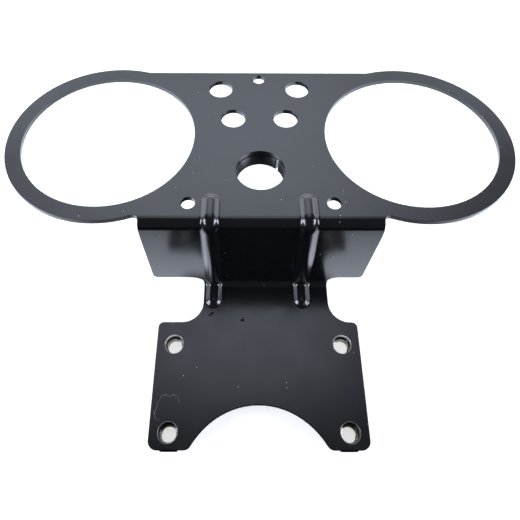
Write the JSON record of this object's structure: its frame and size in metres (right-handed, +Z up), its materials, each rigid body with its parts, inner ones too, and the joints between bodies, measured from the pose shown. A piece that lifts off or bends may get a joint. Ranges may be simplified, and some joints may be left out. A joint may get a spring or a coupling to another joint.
{
  "type": "instrument cluster bracket",
  "caption": "Folded black steel bracket with twin gauge rings, lamp holes, a switch collar and a mounting plate with weld nuts that bolts to a motorbike's steering yoke.",
  "frame": {"origin": "centre of the four bolts, on the underside of the mounting plate", "axes": "+X across the bracket, +Y away from the rider towards the gauge rings, +Z up, square to the mounting plate"},
  "size_m": [0.25, 0.1821, 0.0636],
  "materials": {
    "black_paint": "semi-gloss black paint",
    "nut_steel": "bare steel threads, black overspray outside"
  },
  "bodies": {
    "root": {"bracket": "black_paint", "switch_collar": "black_paint", "weld_nuts": "nut_steel"}
  },
  "joints": []
}
